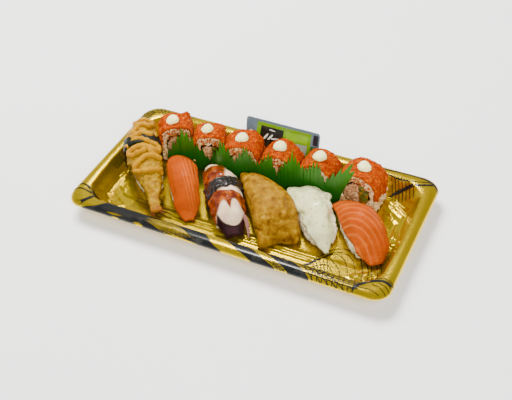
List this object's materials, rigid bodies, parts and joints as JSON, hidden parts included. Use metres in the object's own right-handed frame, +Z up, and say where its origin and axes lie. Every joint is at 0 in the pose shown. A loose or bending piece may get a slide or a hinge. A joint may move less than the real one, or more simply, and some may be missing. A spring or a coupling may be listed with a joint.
{
  "type": "takeaway sushi tray",
  "caption": "Filled takeaway sushi tray: roe-coated rolls, nigiri and a bean-curd pouch in a shallow gold and black tray, with a leaf-shaped divider and a sauce sachet",
  "frame": {"origin": "under the middle of the tray, on the surface it stands on", "axes": "+X along the tray's length, +Y towards the rolls, +Z up"},
  "size_m": [0.285, 0.1458, 0.0488],
  "materials": {
    "tray": "thin gold-printed polystyrene sheet, glossy, with black printed bands and lines",
    "rice": "cooked short rice, moist satin grains",
    "roe": "small orange roe, glossy and moist",
    "nori": "dried seaweed sheet, near black, faint sheen",
    "crab": "pale pink crab filling, moist",
    "greens": "cucumber and avocado filling, moist",
    "mayo": "pale mayonnaise, smooth and soft gloss",
    "salmon": "raw salmon, moist gloss with pale fat lines",
    "squid": "raw squid, translucent white, wet gloss",
    "octopus": "boiled octopus, white flesh with purple skin, brown sauce glaze",
    "batter": "fried golden batter, rough crust with orange sauce",
    "pouch": "fried bean-curd skin, wrinkled, moist satin",
    "leaf": "thin green plastic grass, satin",
    "sachet": "sealed film sachet with plain fields of colour"
  },
  "bodies": {
    "root": {"tray": "tray", "roll_1_rice": "rice", "roll_1_roe": "roe", "roll_1_nori": "nori", "roll_1_crab": "crab", "roll_1_greens": "greens", "roll_1_mayo": "mayo", "roll_2_rice": "rice", "roll_2_roe": "roe", "roll_2_nori": "nori", "roll_2_crab": "crab", "roll_2_greens": "greens", "roll_2_mayo": "mayo", "roll_3_rice": "rice", "roll_3_roe": "roe", "roll_3_nori": "nori", "roll_3_crab": "crab", "roll_3_greens": "greens", "roll_3_mayo": "mayo", "roll_4_rice": "rice", "roll_4_roe": "roe", "roll_4_nori": "nori", "roll_4_crab": "crab", "roll_4_greens": "greens", "roll_4_mayo": "mayo", "roll_5_rice": "rice", "roll_5_roe": "roe", "roll_5_nori": "nori", "roll_5_crab": "crab", "roll_5_greens": "greens", "roll_5_mayo": "mayo", "roll_6_rice": "rice", "roll_6_roe": "roe", "roll_6_nori": "nori", "roll_6_crab": "crab", "roll_6_greens": "greens", "roll_6_mayo": "mayo", "prawn_nigiri_rice": "rice", "prawn_nigiri_prawn": "batter", "prawn_nigiri_nori": "nori", "salmon_left_rice": "rice", "salmon_left_salmon": "salmon", "octopus_nigiri_rice": "rice", "octopus_nigiri_octopus": "octopus", "octopus_nigiri_nori": "nori", "bean_curd_pouch": "pouch", "squid_nigiri_rice": "rice", "squid_nigiri_squid": "squid", "salmon_right_rice": "rice", "salmon_right_salmon": "salmon", "leaf_strip": "leaf", "sauce_sachet": "sachet"}
  },
  "joints": []
}
